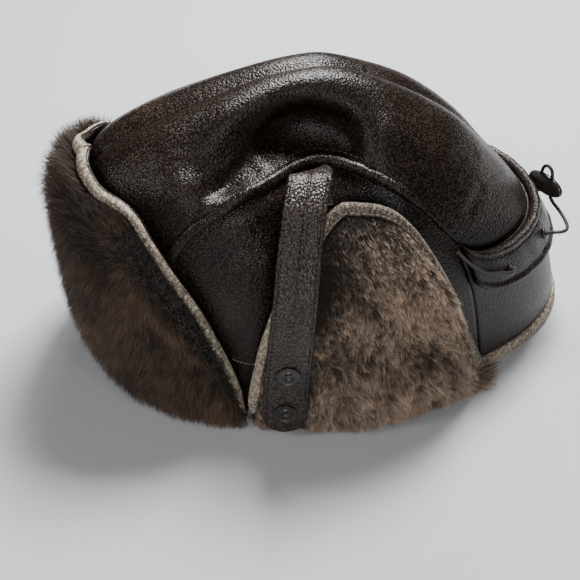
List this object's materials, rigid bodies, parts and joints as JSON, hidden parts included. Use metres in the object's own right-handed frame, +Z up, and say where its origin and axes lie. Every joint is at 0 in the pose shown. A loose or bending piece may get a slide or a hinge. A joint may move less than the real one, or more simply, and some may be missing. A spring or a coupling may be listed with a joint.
{
  "type": "flying cap",
  "caption": "Fur-lined brown leather flying cap with front and ear flaps turned up, a chin strap with press sockets, and a drawcord with a toggle at the back.",
  "frame": {"origin": "middle of the cap's footprint, on the surface that it stands on", "axes": "-Y is the front of the cap, +X is the wearer's left side, +Z is up"},
  "size_m": [0.2322, 0.3132, 0.1721],
  "materials": {
    "brown_leather": "grained, semi-gloss",
    "strap_leather": "pebbled, semi-gloss",
    "brown_fur": "deep pile",
    "taupe_fur": "deep pile",
    "raw_skin": "matt, cut edge",
    "dark_metal": "dark, worn",
    "cord_cover": "waxed",
    "toggle_horn": "polished"
  },
  "bodies": {
    "root": {"crown_left": "brown_leather", "hem_welt_left": "brown_leather", "side_panel_left": "brown_leather", "ear_flap_left": "brown_leather", "ear_flap_edge_left": "raw_skin", "ear_fur_left": "taupe_fur", "crown_right": "brown_leather", "hem_welt_right": "brown_leather", "side_panel_right": "brown_leather", "ear_flap_right": "brown_leather", "ear_flap_edge_right": "raw_skin", "ear_fur_right": "taupe_fur", "front_panel": "brown_leather", "neck_flap": "brown_leather", "neck_flap_edge": "raw_skin", "back_band": "brown_leather", "eyelet_side_left": "dark_metal", "eyelet_back_left": "dark_metal", "eyelet_side_right": "dark_metal", "eyelet_back_right": "dark_metal", "lining": "brown_fur", "front_flap": "brown_leather", "front_flap_edge": "raw_skin", "front_fur": "brown_fur", "strap_left": "strap_leather", "press_socket_1": "dark_metal", "press_socket_2": "dark_metal", "strap_right": "strap_leather", "press_stud_tab": "dark_metal", "panel_stud_left": "dark_metal", "drawcord_left": "cord_cover", "panel_stud_right": "dark_metal", "drawcord_right": "cord_cover", "drawcord_loop": "cord_cover", "toggle": "toggle_horn"}
  },
  "joints": []
}
